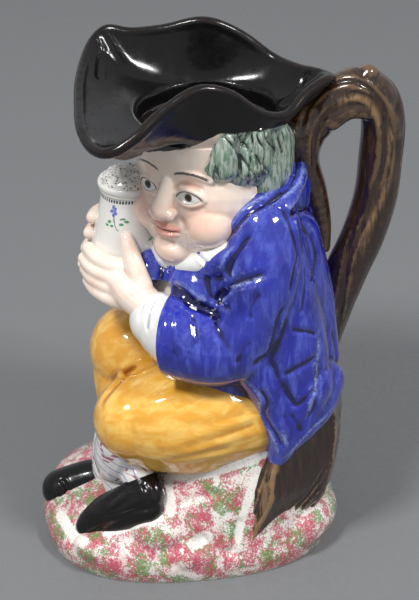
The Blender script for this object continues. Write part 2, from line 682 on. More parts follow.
def block(low, high):
    made = bmesh.new()
    centre = (Vector(low) + Vector(high)) / 2
    size = Vector(high) - Vector(low)
    bmesh.ops.create_cube(made, size=1, matrix=Matrix.LocRotScale(centre * unit, None, size * unit))
    return made


hollow = hollowBody(hollowForms["wall"])
hatInside = hollowBody(hollowForms["wall"] - hollowForms["hatClearance"])
roomInside = hollowBody(hollowForms["wall"] - hollowForms["clearance"])
print("hollow cast")


def liningGlaze():
    f = Finish("inside glaze", 0.12)
    height = f.split(f.place)[2]
    edge = f.sum("MULTIPLY_ADD", f.noise(14, 2), 26 * unit, height)
    colour = f.mix(f.span(edge, 200 * unit, 208 * unit), hollowForms["glaze"], hollowForms["deep"])
    return f.finish(colour)


def makeLining():
    made = hollowBody(hollowForms["wall"] - hollowForms["lining"], 2.4)
    made.name = "lining"
    trim(made, block((-100, -100, 214), (100, 100, 300)))  # the hat is the inside's surface from there up
    cutAway(made, hollow)
    dress(made, liningGlaze())


makeLining()


hair = {
    "grain": 0.7, "soften": 2,
    "headPairs": (
        ((28, 1, 24, 5), (30, 1, 14, 4.4), (30.4, 2, 2, 4.4), (28.6, 4, -12, 4)),
        ((27, 4, 24, 7), (30, 6, 10, 6.5), (29, 8, -3, 5.8), (26, 10, -15, 4.4)),
        ((24, 14, 24, 11), (25, 16, 6, 10), (22, 20, -8, 8)),
    ),
    "pairs": (((12, 36, 212, 10), (12, 38, 198, 9.5), (11, 40, 188, 8)),),
    "sides": (((27, 13, 206, 8), (28.6, 14, 214, 7), (29.6, 15, 220, 5.6)),
              ((24, 26, 206, 10), (25, 27, 214, 8.6), (26, 28, 220, 6.6)),
              ((-26, 4, 206, 8), (-27, 5, 214, 7)), ((-24, 20, 206, 10), (-25, 21, 214, 8.6)),
              ((-22, 27, 208, 12), (-22, 29, 196, 12), (-20, 32, 185, 10)),
              ((-26, 12, 208, 9), (-27, 14, 195, 9), (-25, 17, 184, 8))),
    "ball": ((2, 20, 202), (29, 26, 18)),
    "folds": (
        (((219, 128), (225, 138), (236, 150), (240, 164), (243, 180)), 0.8, 0.9, 0.3),
        (((226, 128), (235, 138), (238, 152), (247, 166), (249, 182), (246, 194)), 0.8, 0.9, 0.3),
        (((236, 128), (240, 140), (250, 152), (250, 168), (257, 180), (254, 190)), 0.8, 0.9, 0.3),
        (((246, 127), (252, 138), (253, 152), (261, 164), (262, 180)), 0.8, 0.9, 0.3),
        (((255, 126), (258, 140), (265, 150), (264, 164), (270, 174)), 0.8, 0.9, 0.3),
        (((265, 124), (266, 138), (273, 148), (273, 162), (277, 168)), 0.8, 0.9, 0.3),
        (((274, 122), (277, 134), (280, 144), (283, 156)), 0.8, 0.8, 0.3),
    ),
    "pale": (0.42, 0.48, 0.42), "green": (0.14, 0.24, 0.16), "dark": (0.014, 0.026, 0.018),
    "light": (0.50, 0.54, 0.48),
}
hat = {
    "grain": 0.85, "soften": 6, "brim": 4.4, "edge": 2.6,
    # The edge, round from the front middle by the figure's left
    "rim": ((0, -47, 226), (22, -48, 225), (40, -45, 224), (50, -38, 226), (49, -27, 232), (43, -16, 239),
            (38, 0, 246.6), (36, 14, 243.6), (31, 29, 231), (23, 42, 226), (14, 52, 231), (6, 62, 233.6),
            (0, 66, 232), (-7, 61, 232), (-15, 54, 231), (-27, 44, 232), (-35, 30, 241), (-38, 14, 247),
            (-42, -4, 242.6), (-49, -19, 239), (-54, -29, 239), (-50, -36, 235), (-38, -41, 231), (-20, -45, 228)),
    "crown": ((206, 0.98), (211, 1.03), (216, 1.06), (219, 1.1)),  # height, size
    # Where the black stops and face and hair begin: angle round the head in degrees, height
    "headLine": ((-180, 218), (-150, 212), (-120, 207), (-100, 205.5), (-85, 206), (-63, 208.6), (-44, 212.4),
                 (-33, 214.2), (-22, 216), (-15, 218.6), (-7, 221.5), (0, 224.5), (19, 223.4), (35, 222.8), (50, 222),
                 (81, 216), (120, 215), (160, 218), (180, 218)),
    "hairFrom": (-98, 2),  # face between these angles at the line, hair round the rest
    "ridges": (
        ((0, 45, 220, 3), (1, 54, 225, 4), (0, 63, 231, 4)),
        ((-34, -19, 221, 2), (-43, -26, 228, 3), (-51, -31, 236, 3)),
        ((32, -24, 217, 2), (40, -31, 220, 2.6), (48, -36, 225, 3)),
    ),
    "folds": (
        (((104, 44), (100, 60), (98, 80)), 1.2, 0.6, 0.2),
        (((312, 70), (304, 78), (300, 90)), 1.2, 0.7, 0.2),
    ),
    "black": (0.0045, 0.0042, 0.0045), "brown": (0.035, 0.016, 0.009),
    "grey": (0.012, 0.010, 0.011),
}


def fleshBase(f):
    # Cream glaze with a warm, uneven flush
    cream = f.mix(f.span(f.noise(9, 3), 0.35, 0.7), head["flesh"], head["cream"])
    deep = f.span(f.read("grooves"), 0.08, 0.45, 0, 0.4)
    return f.mix(deep, cream, head["warm"])


def hairColour(f):
    strands = f.noise(1.5, 3, 0.6, f.stretched((1, 1, 0.22), (0.5, 0.3, 0)))
    colour = f.mix(f.span(strands, 0.38, 0.6), hair["pale"], hair["green"])
    dark = f.noise(2.6, 4, 0.6, f.stretched((1, 1, 0.16), (0.3, 0.25, 0.2)), 0.5)
    colour = f.mix(f.span(dark, 0.54, 0.64, 0, 0.9), colour, hair["dark"])
    return f.mix(f.span(f.read("grooves"), 0.04, 0.26, 0, 0.95), colour, hair["dark"])


def markHeadLine(piece, bowl=False):
    # How far each vertex is above the hat's painted edge, in units, and its share of hair against face
    places, normals = coordinates(piece.data) / unit, coordinates(piece.data, "normal")
    across, along = places[:, 0], places[:, 1] - hollowForms["mouthMiddle"]
    angle = np.degrees(np.arctan2(along, across))
    line = np.array(hat["headLine"], float)
    above = places[:, 2] - np.interp(angle, line[:, 0], line[:, 1])
    outward = (normals[:, 0] * across + normals[:, 1] * along) / np.maximum(np.hypot(across, along), 1)
    if bowl:
        above[(outward < 0.1) | (normals[:, 2] > 0.35)] = 9  # inside, all is black
    keep(piece, "aboveLine", above)
    low, high = hat["hairFrom"]
    keep(piece, "hairShare", np.clip(np.maximum(low - angle, angle - high) / 3 + 0.5, 0, 1))


def underHat(f, colour, black=hat["black"]):
    # Black above the painted edge
    edge = f.sum("MULTIPLY_ADD", f.noise(5, 3), 2.4, f.read("aboveLine"))
    return f.mix(f.span(edge, 0.9, 1.5), colour, black)


def blackGlaze(name):
    f = Finish(name, 0.15, 0.15)
    f.shader.inputs["IOR"].default_value = 1.38
    f.shader.inputs["Coat Roughness"].default_value = 0.08
    worn = f.span(f.sum("MULTIPLY_ADD", f.noise(4, 3), 0.6, f.read("grooves")), 0.0, -0.45, 0, 0.5)
    colour = f.mix(worn, hat["black"], hat["brown"])
    colour = f.mix(f.span(f.noise(12, 3), 0.45, 0.8, 0, 0.35), colour, hat["grey"])
    return f, colour


def hatGlaze():
    f, colour = blackGlaze("black hat glaze")
    # Under the brim the face and the hair reach up to the painted edge
    skin = f.mix(f.read("hairShare"), fleshBase(f), hairColour(f))
    return f.finish(underHat(f, skin, colour), ripple=0.3)


def makeHat():
    clay = Clay()
    rings = [hatRing(0, -3.5, 0.93), hatRing(0, -1.2, 0.99), hatRing(0.04)]
    rings += [hatRing(share) for share in (0.12, 0.22, 0.34, 0.46, 0.58, 0.7, 0.82, 0.92, 1)]
    sheet = bmesh.new()
    bridge(sheet, rings)
    holder = placeObject("brim", meshFrom(sheet, "brim"))
    shell = holder.modifiers.new("shell", "SOLIDIFY")
    shell.thickness = hat["brim"] * unit
    shell.offset = 0
    shell.use_even_offset = True
    clay.lumps.from_mesh(settle(holder))
    bpy.data.objects.remove(holder)
    clay.loft([hatRing(0, z - hollowForms["mouthLevel"], scale) for z, scale in hat["crown"]])
    clay.limb([(*place, hat["edge"]) for place in hat["rim"]], closed=True)
    clay.limbs(hat["ridges"])
    made = clay.cast("hat", hat["grain"], hat["soften"])
    cutAway(made, hatInside)
    carve(made, hat["folds"])
    markRelief(made)
    markHeadLine(made, bowl=True)
    dress(made, hatGlaze())


makeHat()


def faceGlaze():
    f = Finish("face glaze", 0.11)
    place = f.read("facePlace", "Vector")
    x, y, z = f.split(place)
    side = f.sum("ABSOLUTE", x)
    half = f.node("CombineXYZ", inputs={0: side, 1: 0.0, 2: z})  # both halves of the face at once
    front = f.span(y, -14, -20)
    colour = fleshBase(f)
    soft = f.span(f.noise(6, 3), 0.2, 0.75, 0.55, 1)
    for centre, radii, share in (((17, 0, -8), (9, 0.1, 8), 0.62), ((0, 0, -5), (5.5, 0.1, 5), 0.4),
                                 ((0, 0, -26), (8, 0.1, 5), 0.35), ((12, 0, 11), (9, 0.1, 4), 0.16)):
        wide = f.spot(half, centre, (radii[0], 1e3, radii[2]), 0.75)
        colour = f.mix(f.sum("MULTIPLY", f.sum("MULTIPLY", wide, soft), share), colour, head["blush"])
    # Lips
    upper = f.spot(half, (2.8, 0, -13), (5.4, 1e3, 1.6), 0.25)
    lower = f.spot(half, (0, 0, -15.9), (6.8, 1e3, 2.0), 0.25)
    lips = f.sum("MULTIPLY", f.sum("MAXIMUM", upper, lower), f.sum("MULTIPLY", front, 0.7))
    colour = f.mix(lips, colour, head["lipColour"])
    seam = f.spot(half, (0, 0, -14.4), (8.4, 1e3, 0.42), 0.4)
    colour = f.mix(f.sum("MULTIPLY", seam, f.sum("MULTIPLY", front, 0.8)), colour, head["seam"])
    # Eyes: the white between two arcs, then iris and pupil
    over = f.vector("LENGTH", f.vector("MULTIPLY", f.vector("SUBTRACT", half, (11.4, 0, 0.4)), (1, 0, 1)))
    under = f.vector("LENGTH", f.vector("MULTIPLY", f.vector("SUBTRACT", half, (11.4, 0, 7.0)), (1, 0, 1)))
    white = f.sum("MULTIPLY", f.span(over, 6.5, 6.2), f.span(under, 6.2, 5.9))
    white = f.sum("MULTIPLY", white, front)
    colour = f.mix(white, colour, head["eyeWhite"])
    for radius, shade in ((1.9, head["iris"]), (0.95, head["pupil"])):
        disc = f.spot(half, (11.4, 0, 3.9), (radius, 1e3, radius), 0.1)
        colour = f.mix(f.sum("MULTIPLY", disc, white), colour, shade)
    lid = f.sum("MULTIPLY", f.span(f.apart(over, 6.45), 0.5, 0.25), f.span(z, 2.6, 3.4))
    lash = f.sum("MULTIPLY", f.span(f.apart(under, 6.1), 0.3, 0.12), f.span(z, 3.4, 2.6))
    lines = f.sum("MAXIMUM", lid, f.sum("MULTIPLY", lash, 0.5))
    lines = f.sum("MULTIPLY", lines, f.span(f.apart(side, 11.4), 6.4, 5.6))
    # Brows of short strokes
    arch = f.sum("MULTIPLY", f.sum("POWER", f.apart(side, 11), 2), -0.035)
    rise = f.apart(f.sum("SUBTRACT", z, arch), 15.2)
    rise = f.sum("MULTIPLY_ADD", f.noise(0.7, 2), 0.9, rise)
    brow = f.sum("MULTIPLY", f.span(rise, 1.25, 0.85), f.span(f.apart(side, 11.4), 8, 6.6))
    lines = f.sum("MULTIPLY", f.sum("MAXIMUM", lines, brow), front)
    colour = f.mix(f.sum("MULTIPLY", lines, 0.9), colour, head["hairLine"])
    return f.finish(underHat(f, colour), ripple=0.22)


def makeHead():
    clay = Clay()
    headForms(clay)
    clay.loft([hatRing(0, z - hollowForms["mouthLevel"], scale) for z, scale in head["forehead"]])
    turn = headTurn.to_quaternion()
    for side in (1, -1):
        for key in ("cheek", "eye", "nostril"):
            (x, y, z), radii = head[key]
            clay.ball(inHead(x * side, y, z), radii, turn)
        for line in head["pairs"]:
            clay.limb([inHead(x * side, y, z, radius) for x, y, z, radius in line])
    for line in (head["nose"],) + head["lips"]:
        clay.limb([inHead(*station) for station in line])
    made = clay.cast("head", head["grain"], head["soften"])
    cutAway(made, roomInside)
    folds = []
    for line, width, depth, swell in head["creases"]:
        for side in (1, -1):
            folds.append(([inHead(x * side, y, z) for x, y, z in line], width, depth, swell))
    for line, width, depth, swell in head["middle"]:
        folds.append(([inHead(*place) for place in line], width, depth, swell))
    carve(made, folds)
    markRelief(made)
    local = (coordinates(made.data) / unit - np.array(head["centre"])) @ np.array(headTurn)
    keep(made, "facePlace", local)
    markHeadLine(made)
    dress(made, faceGlaze())


makeHead()


def hairGlaze():
    f = Finish("hair glaze", 0.13)
    colour = f.mix(f.span(f.noise(5, 3), 0.5, 0.72, 0, 0.5), hairColour(f), hair["light"])
    return f.finish(underHat(f, colour), ripple=0.3)


def makeHair():
    clay = Clay()
    for side in (1, -1):
        for line in hair["headPairs"]:
            clay.limb([inHead(x * side, y, z, radius) for x, y, z, radius in line])
    clay.limbs(hair["pairs"], (1, -1))
    clay.limbs(hair["sides"])
    clay.ball(*hair["ball"])
    made = clay.cast("hair", hair["grain"], hair["soften"])
    cutAway(made, roomInside)
    folds = list(hair["folds"])
    # Locks round the hidden side and the back of the head, from under the hat to the collar
    for angle in range(62, 300, 9):
        turn = math.radians(angle)
        line = [inHead(math.cos(turn) * r, math.sin(turn) * r, z) for r, z in ((36, 26), (37, 12), (36, -2), (32, -14))]
        folds.append((line, 0.9, 0.9, 0.5))
    carve(made, folds)
    markRelief(made, 6)
    markHeadLine(made)
    dress(made, hairGlaze())


makeHair()


shirt = {
    "grain": 0.75, "soften": 2,
    "pairs": (((6, -12, 151, 5), (22, -2, 155, 6), (31, 14, 163, 6), (30, 32, 176, 5.5), (16, 44, 187, 5)),),
    "front": ((-6, -12, 151, 5), (6, -12, 151, 5)),
    "breast": (((-2, -13, 140), (9, 5, 12)),),
    "folds": (
        (((196, 250), (205, 262), (216, 268), (232, 268)), 1.0, 0.9, 0.4),
        (((165, 258), (180, 252), (200, 247)), 1.0, 0.8, 0.4),
        (((236, 235), (250, 222), (268, 206)), 1.0, 0.8, 0.4),
    ),
    "white": (0.86, 0.845, 0.80), "shade": (0.80, 0.79, 0.76), "fold": (0.30, 0.33, 0.46),
}
cuffs = {
    "grain": 0.85, "soften": 2,
    "near": ((31, -8, 125, 17), (28.5, -13, 126.5, 15.2), (26, -16.5, 128.5, 13)),
    "far": ((-27, -13, 119, 13), (-24.5, -18.5, 122, 12.4), (-23, -21.5, 125.5, 10.8)),
    "folds": (
        (((152, 290), (142, 308), (138, 326)), 0.9, 0.8, 0.4),
        (((158, 296), (150, 312), (147, 332)), 0.9, 0.7, 0.4),
    ),
}


def whiteGlaze(name):
    f = Finish(name, 0.1)
    colour = f.mix(f.span(f.noise(10, 3), 0.35, 0.75), shirt["white"], shirt["shade"])
    colour = f.mix(f.span(f.read("grooves"), 0.05, 0.4, 0, 0.7), colour, shirt["fold"])
    return f.finish(colour)


def makeShirt():
    clay = Clay()
    clay.limbs(shirt["pairs"], (1, -1))
    clay.limb(shirt["front"])
    for centre, radii in shirt["breast"]:
        clay.ball(centre, radii)
    made = clay.cast("neckband", shirt["grain"], shirt["soften"])
    cutAway(made, roomInside)
    carve(made, shirt["folds"])
    markRelief(made)
    dress(made, whiteGlaze("shirt glaze"))
    clay = Clay()
    clay.limb(cuffs["near"])
    clay.limb(cuffs["far"])
    made = clay.cast("cuffs", cuffs["grain"], cuffs["soften"])
    carve(made, cuffs["folds"])
    markRelief(made)
    dress(made, whiteGlaze("cuff glaze"))


makeShirt()


def cobaltGlaze():
    f = Finish("cobalt glaze", 0.09, 0.8)
    streaks = f.noise(4, 4, 0.65, f.stretched((1, 1, 0.25), (0.4, 0.2, 0.3)), 0.4)
    clouds = f.noise(18, 3, 0.55)
    colour = f.mix(f.span(clouds, 0.35, 0.7, 0, 0.8), coat["cobalt"], coat["dark"])
    colour = f.mix(f.span(streaks, 0.42, 0.70), colour, coat["light"])
    colour = f.mix(f.span(f.noise(26, 2), 0.42, 0.66, 0, 0.25), colour, coat["light"])
    grooves = f.read("grooves")
    pooled = f.span(f.sum("MULTIPLY_ADD", f.noise(3, 3), 0.15, grooves), 0.09, 0.48)
    colour = f.mix(pooled, colour, coat["deep"])
    ridge = f.sum("MULTIPLY_ADD", f.noise(1.6, 4, 0.75), 0.9, grooves)
    colour = f.mix(f.span(ridge, 0.10, -0.35, 0, 0.6), colour, coat["thin"])
    rubbed = f.sum("MULTIPLY", f.read("brushed"), f.span(f.noise(1.4, 4, 0.75), 0.36, 0.6))
    colour = f.mix(f.sum("MULTIPLY", rubbed, 0.8), colour, coat["thin"])
    return f.finish(colour, ripple=0.5)


def trimHem(piece):
    # Cut off below the tails' lower edge, seen from the side
    y, z, slope = coat["hem"]
    profile = ((-90, -60), (y - 12, -60), (y - 12, z - 4), (y - 1, z - 1.5), (y, z), (y + 60, z + 60 * slope),
               (120, -60))
    trim(piece, closedBody([[(side * 90 * unit, along * unit, up * unit) for along, up in profile]
                            for side in (-1, 1)]))


def trimSleeve(piece):
    middle, way, radius = coat["sleeveEnd"]
    way = Vector(way).normalized()
    drum = bmesh.new()
    place = Matrix.LocRotScale((Vector(middle) + way * 20) * unit, way.to_track_quat("Z", "Y"), None)
    bmesh.ops.create_cone(drum, cap_ends=True, segments=48, radius1=radius * unit, radius2=radius * unit,
                          depth=40 * unit, matrix=place)
    trim(piece, drum)


def makeCoat():
    clay = Clay()
    coreLoft(clay, coat["coreFrom"], coat["coreTo"])
    clay.limbs(coat["pairs"], (1, -1))
    clay.limb(coat["back"])
    clay.limb(coat["foreArm"])
    clay.limb(coat["foreArmFar"])
    for centre, radii in coat["chest"]:
        clay.ball(centre, radii)
    made = clay.cast("coat", coat["grain"], coat["soften"])
    cutAway(made, roomInside)
    trimHem(made)
    trimSleeve(made)
    carve(made, [(line, width * coat["foldWidth"], depth * coat["foldDepth"], coat["swell"])
                 for line, width, depth in coat["folds"] + coat["hiddenFolds"]])
    markRelief(made)
    brushed(made, "brushed", coat["edges"], 0.8)
    dress(made, cobaltGlaze())


makeCoat()


def ochreGlaze():
    f = Finish("ochre glaze", 0.09, 0.8)
    streaks = f.noise(6, 4, 0.55, f.stretched((1, 0.5, 1), (0.2, 0, 0.3)), 0.5)
    colour = f.mix(f.span(streaks, 0.35, 0.7), breeches["ochre"], breeches["pale"])
    grooves = f.sum("MULTIPLY_ADD", f.noise(4, 3), 0.2, f.read("grooves"))
    colour = f.mix(f.span(grooves, 0.12, 0.45, 0, 0.8), colour, breeches["dark"])
    low = f.span(f.sum("MULTIPLY_ADD", f.noise(8, 3), 14 * unit, f.split(f.place)[2]), 66 * unit, 48 * unit, 0, 0.45)
    colour = f.mix(low, colour, breeches["dark"])
    return f.finish(colour, ripple=0.5)


def makeBreeches():
    clay = Clay()
    clay.limbs(breeches["thighs"] + breeches["shins"])
    made = clay.cast("breeches", breeches["grain"], breeches["soften"])
    cutAway(made, roomInside)
    carve(made, breeches["folds"])
    markRelief(made)
    dress(made, ochreGlaze())


makeBreeches()


stockings = {
    "grain": 0.85, "soften": 3,
    "legs": (
        ((23, -31, 64, 15), (19, -34, 51, 13.5), (17, -34, 40, 11), (20, -33, 32, 9.5)),
        ((-10, -30, 60, 11.6), (-8, -31, 53, 11.6), (-4, -35, 42, 11), (-2, -37, 32, 10), (-2, -37, 26, 9.5)),
        ((26, -30, 48, 8), (31, -27, 46, 8)),
    ),
    "white": (0.84, 0.82, 0.78), "red": (0.33, 0.03, 0.06), "blue": (0.13, 0.16, 0.50),
    "shade": (0.78, 0.75, 0.74),
}


def stockingGlaze():
    f = Finish("stocking glaze", 0.11)
    colour = f.mix(f.span(f.noise(8, 3), 0.35, 0.7), stockings["white"], stockings["shade"])
    x, y, z = f.split(f.place)
    shake = f.sum("MULTIPLY_ADD", f.noise(9, 2), 3.0 * unit, z)
    rings = f.sum("PINGPONG", f.sum("MULTIPLY_ADD", f.sum("ADD", x, y), 0.45, shake), 3.1 * unit)
    colour = f.mix(f.span(rings, 0.5 * unit, 0.25 * unit, 0, 0.75), colour, stockings["blue"])
    ups = f.sum("PINGPONG", f.sum("MULTIPLY_ADD", f.noise(9, 2), 2.0 * unit, f.sum("SUBTRACT", x, y)), 3.4 * unit)
    dashes = f.sum("PINGPONG", z, 1.5 * unit)
    red = f.sum("MULTIPLY", f.span(ups, 0.5 * unit, 0.25 * unit), f.span(dashes, 0.4 * unit, 0.6 * unit))
    colour = f.mix(f.sum("MULTIPLY", red, 0.85), colour, stockings["red"])
    return f.finish(colour)


def makeStockings():
    clay = Clay()
    clay.limbs(stockings["legs"])
    made = clay.cast("stockings", stockings["grain"], stockings["soften"])
    markRelief(made)
    dress(made, stockingGlaze())


makeStockings()


shoes = {
    "grain": 0.75, "soften": 3,
    "limbs": (
        ((-5, -38, 20, 9), (-6, -46, 21, 9.5), (-7, -56, 18, 9.5), (-7, -62, 15.5, 9.8)),
        ((-4, -32, 14, 7), (-6, -46, 13, 8), (-7, -56, 13, 8.5)),
        ((38, -24, 40, 8.6), (36, -32, 35.5, 8.6), (32, -42, 28, 8.5), (29, -49, 20, 7.5), (28.5, -51, 17, 7)),
        ((40, -24, 34, 8), (36, -34, 27, 7.5), (30, -48, 15.5, 6)),
        ((33, -26, 43, 8.5), (38, -24, 41, 8)),
    ),
    "folds": (
        (((142, 481), (148, 492), (149, 505)), 1.1, 0.5, 0.3),
        (((152, 480), (156, 490), (157, 502)), 1.0, 0.5, 0.3),
        (((132, 484), (118, 494), (104, 506)), 1.6, 0.7, 0.3),
        (((138, 492), (124, 503), (110, 513)), 1.3, 0.5, 0.3),
        (((92, 520), (112, 517), (134, 511), (156, 508)), 1.0, 0.5, 0.3),
        (((60, 478), (66, 486), (70, 498)), 1.0, 0.8, 0.4),
        (((48, 492), (62, 500), (80, 498)), 0.9, 0.7, 0.3),
    ),
}


def makeShoes():
    clay = Clay()
    clay.limbs(shoes["limbs"])
    made = clay.cast("shoes", shoes["grain"], shoes["soften"])
    carve(made, shoes["folds"])
    markRelief(made)
    f, colour = blackGlaze("black shoe glaze")
    dress(made, f.finish(colour, ripple=0.4))


makeShoes()


hands = {
    "grain": 0.66, "soften": 3,
    "palms": (
        ((24, -18, 129, 10), (22, -21, 134, 8.5), (17, -27, 139, 9), (12, -31, 143, 8)),
        ((-24, -19, 124, 9), (-22, -24, 132, 8.5), (-23, -28, 139, 8.5), (-22, -30, 146, 8)),
    ),
    "knuckles": ((15, -35, 135), (13, -36, 140), (11.5, -36.5, 145), (9.5, -36, 150)),
    "thumb": ((19, -23, 143, 5.5), (16, -25, 151, 4.6), (11, -27, 158, 3.8), (8, -28, 162, 3.2)),
    "farFirst": (138, -38), "farStep": (8, 1.6),  # height and depth of the lowest far finger, and of each step up
}


def handGlaze():
    f = Finish("hand glaze", 0.11)
    colour = fleshBase(f)
    colour = f.mix(f.span(f.noise(7, 3), 0.45, 0.75, 0, 0.35), colour, head["blush"])
    return f.finish(colour, ripple=0.22)


def makeHands():
    clay = Clay()
    clay.limbs(hands["palms"])
    for row, (x, y, z) in enumerate(hands["knuckles"]):
        reach = 1 if row < 3 else 0.85
        clay.limb([(x + 3, y + 8, z - 1, 4.6), (x, y, z, 4.4), (x - 6 * reach, y - 7 * reach, z + 1.5, 3.9),
                   (x - 13 * reach, y - 10.5 * reach, z + 3, 3.2)])
    clay.limb(hands["thumb"])
    for row in range(4):
        z = hands["farFirst"][0] + hands["farStep"][0] * row
        y = hands["farFirst"][1] + hands["farStep"][1] * row
        clay.limb([(-24, y + 8, z - 2, 4.8), (-22, y, z, 4.4), (-17, y - 6, z + 1, 3.9), (-11, y - 8.5, z + 2, 3.3)])
    made = clay.cast("hands", hands["grain"], hands["soften"])
    markRelief(made)
    dress(made, handGlaze())


makeHands()


mug = {
    "foot": (-9, -29.5, 124.0), "lip": (-6, -25.5, 185.0),
    # Share of the height and radius
    "profile": ((0, 10), (0, 12), (0.012, 12.7), (0.05, 12.8), (0.07, 13.4), (0.12, 15.3), (0.2, 16.1), (0.3, 16.2),
                (0.42, 15.8), (0.54, 14.9), (0.66, 13.9), (0.78, 12.9), (0.86, 12.3), (0.925, 12.3), (0.93, 12.9),
                (0.95, 13.1), (0.957, 13.2), (0.965, 13.7), (0.985, 14), (1, 13.9), (1.01, 13.4), (1.008, 12.6),
                (0.99, 12)),
    "froth": ((0.97, 12.2), (1.0, 12.6), (1.02, 12.2), (1.045, 11), (1.065, 9.2), (1.08, 6.8), (1.088, 4), (1.09, 1)),
    # The flower towards the camera and its leaves: arc, height, half width, half height
    "petals": ((-13.2, 50.2, 1.3, 1), (-11.2, 51.2, 1, 1.3), (-11, 49.2, 1.2, 0.9), (-12.6, 52.2, 0.8, 1),
               (-12.2, 48.2, 0.9, 0.9), (-20, 27, 1, 1.6), (-18.4, 24.4, 0.8, 1.5), (-20.6, 22.6, 0.9, 1.2)),
    "leaves": ((-6.2, 46.8, 1.7, 0.7), (-3.8, 45.6, 1.5, 0.7), (-6.6, 44.2, 1.5, 0.6), (-14, 44.8, 1.2, 0.6),
               (-15.4, 43, 1.2, 0.6), (-12.4, 42.8, 1.1, 0.6), (-19, 19.4, 1.5, 0.8), (-17, 21.6, 0.8, 1.1)),
    # More sprigs round the mug, each from its own arc
    "sprigs": (-34, 14, 30),
    "sprigPetals": ((-1.2, 40, 1.3, 1), (0.8, 41, 1, 1.3), (1, 38.8, 1.2, 0.9), (-0.4, 37.8, 0.9, 0.9)),
    "sprigLeaves": ((3.6, 35, 1.7, 0.7), (-3.4, 34, 1.6, 0.7)),
    "white": (0.84, 0.82, 0.76), "blue": (0.045, 0.09, 0.52), "leaf": (0.02, 0.25, 0.07), "dark": (0.03, 0.04, 0.05),
    "shade": (0.80, 0.79, 0.77), "stem": (0.03, 0.09, 0.14),
    "frothLight": (0.80, 0.78, 0.74), "frothShade": (0.62, 0.60, 0.57), "speck": (0.09, 0.08, 0.08),
}


def turned(name, profile, segments=96, perSpan=3):
    # A round body about the mug's leaning axis, and each vertex's place round it and up it, in units
    foot, lip = np.array(mug["foot"]), np.array(mug["lip"])
    rings, around = [], []
    for along, radius in smoothPath(profile, perSpan):
        x, y, z = foot + along * (lip - foot)
        ring = []
        for k in range(segments):
            a = 2 * math.pi * k / segments
            ring.append(((x + radius * math.cos(a)) * unit, (y + radius * math.sin(a)) * unit, z * unit))
            around.append((math.cos(a), math.sin(a), along * (lip - foot)[2]))
        rings.append(ring)
    made = placeObject(name, meshFrom(closedBody(rings), name))
    keep(made, "mugPlace", around)
    return made


def mugGlaze():
    f = Finish("mug glaze", 0.09)
    colour = f.mix(f.span(f.noise(9, 3), 0.35, 0.75), mug["white"], mug["shade"])
    place = f.read("mugPlace", "Vector")
    x, y, z = f.split(place)
    # Arc round the belly, about 0 where the camera looks
    across = f.sum("MULTIPLY_ADD", x, math.sin(math.radians(-8)), f.sum("MULTIPLY", y, 0.99))
    towards = f.sum("MULTIPLY_ADD", x, 0.99, f.sum("MULTIPLY", y, 0.139))
    arc = f.sum("MULTIPLY", f.sum("ARCTAN2", across, towards), 16.5)
    flat = f.node("CombineXYZ", inputs={0: arc, 1: z, 2: 0.0})
    wob = f.node("TexNoise", "Color", {"Vector": flat, "Scale": 0.35})
    drawn = f.vector("ADD", flat, f.vector("MULTIPLY", f.vector("SUBTRACT", wob, (0.5, 0.5, 0.5)), (1.6, 1.6, 0)))
    petals, leaves = list(mug["petals"]), list(mug["leaves"])
    for arcAt in mug["sprigs"]:
        petals += [(arcAt + dx, dz, rx, rz) for dx, dz, rx, rz in mug["sprigPetals"]]
        leaves += [(arcAt + dx, dz, rx, rz) for dx, dz, rx, rz in mug["sprigLeaves"]]
    bloom = green = 0.0
    for px, pz, rx, rz in petals:
        bloom = f.sum("MAXIMUM", bloom, f.spot(drawn, (px, pz, 0), (rx, rz, 1), 0.25))
    for px, pz, rx, rz in leaves:
        green = f.sum("MAXIMUM", green, f.spot(drawn, (px, pz, 0), (rx, rz, 1), 0.25))
    dx, dz, _ = f.split(drawn)
    bend = f.sum("MULTIPLY_ADD", f.sum("POWER", f.apart(dz, 49), 2), 0.05, -11.9)
    stem = f.span(f.apart(dx, bend), 0.42, 0.2)
    stem = f.sum("MULTIPLY", stem, f.sum("MULTIPLY", f.span(dz, 40.4, 41), f.span(dz, 49, 48.4)))
    colour = f.mix(f.sum("MULTIPLY", green, 0.9), colour, mug["leaf"])
    colour = f.mix(f.sum("MULTIPLY", bloom, 0.85), colour, mug["blue"])
    colour = f.mix(f.sum("MULTIPLY", stem, 0.8), colour, mug["stem"])
    # Dashed line at the neck
    ring = f.span(f.apart(z, 54.9), 0.95, 0.6)
    dash = f.span(f.sum("MULTIPLY_ADD", f.noise(1.2, 2), 0.7, f.sum("PINGPONG", arc, 0.95)), 0.6, 0.85)
    colour = f.mix(f.sum("MULTIPLY", ring, dash), colour, mug["dark"])
    return f.finish(colour, ripple=0.2)


def frothGlaze():
    f = Finish("froth glaze", 0.2, 0.3)
    dots = f.cells(1.7)
    specks = f.span(dots, 0.36, 0.2)
    colour = f.mix(f.span(f.noise(4, 3), 0.4, 0.7), mug["frothLight"], mug["frothShade"])
    colour = f.mix(f.sum("MULTIPLY", specks, 0.85), colour, mug["speck"])
    return f.finish(colour, f.sum("MULTIPLY", specks, -0.8), ripple=0.7)


def makeMug():
    made = turned("mug", mug["profile"])
    dress(made, mugGlaze())
    made = turned("froth", mug["froth"], perSpan=8)
    surface, normals = coordinates(made.data), coordinates(made.data, "normal")
    rng = np.random.default_rng(7)
    bumps = np.zeros(len(surface))
    for index in rng.choice(len(surface), 130, replace=False):
        near = np.linalg.norm(surface - surface[index], axis=1)
        bumps += np.exp(-(near / (0.9 * unit)) ** 2) * rng.uniform(0.2, 0.7)
    surface += normals * np.minimum(bumps, 0.9)[:, None] * unit
    made.data.vertices.foreach_set("co", surface.ravel())
    dress(made, frothGlaze())


makeMug()


